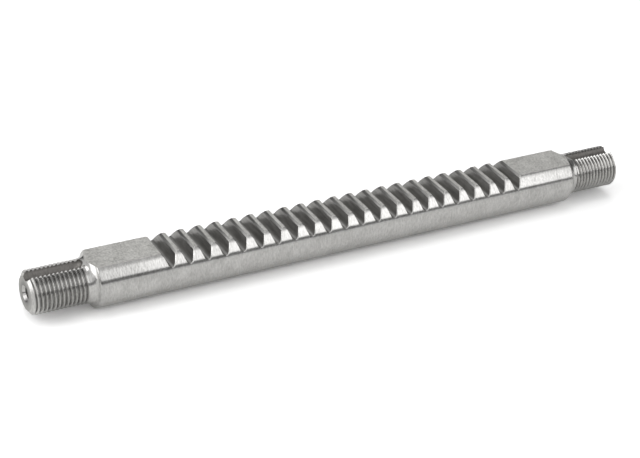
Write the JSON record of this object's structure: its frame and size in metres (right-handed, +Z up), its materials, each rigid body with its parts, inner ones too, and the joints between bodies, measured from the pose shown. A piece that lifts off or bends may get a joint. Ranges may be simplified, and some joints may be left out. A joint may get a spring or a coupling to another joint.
{
  "type": "rack shaft",
  "caption": "Round steel bar with a milled flat and a row of straight rack teeth across it, reduced ends with a fine screw thread, and a keyway at each end.",
  "frame": {"origin": "on the axis of the shaft, midway between the end faces", "axes": "+X along the shaft, +Z up out of the milled flat and the teeth, +Y across the shaft along the tooth gaps"},
  "size_m": [0.245, 0.0208, 0.0186],
  "materials": {
    "steel": "turned and milled, uncoated, satin"
  },
  "bodies": {
    "root": {"rack_shaft": "steel"}
  },
  "joints": []
}
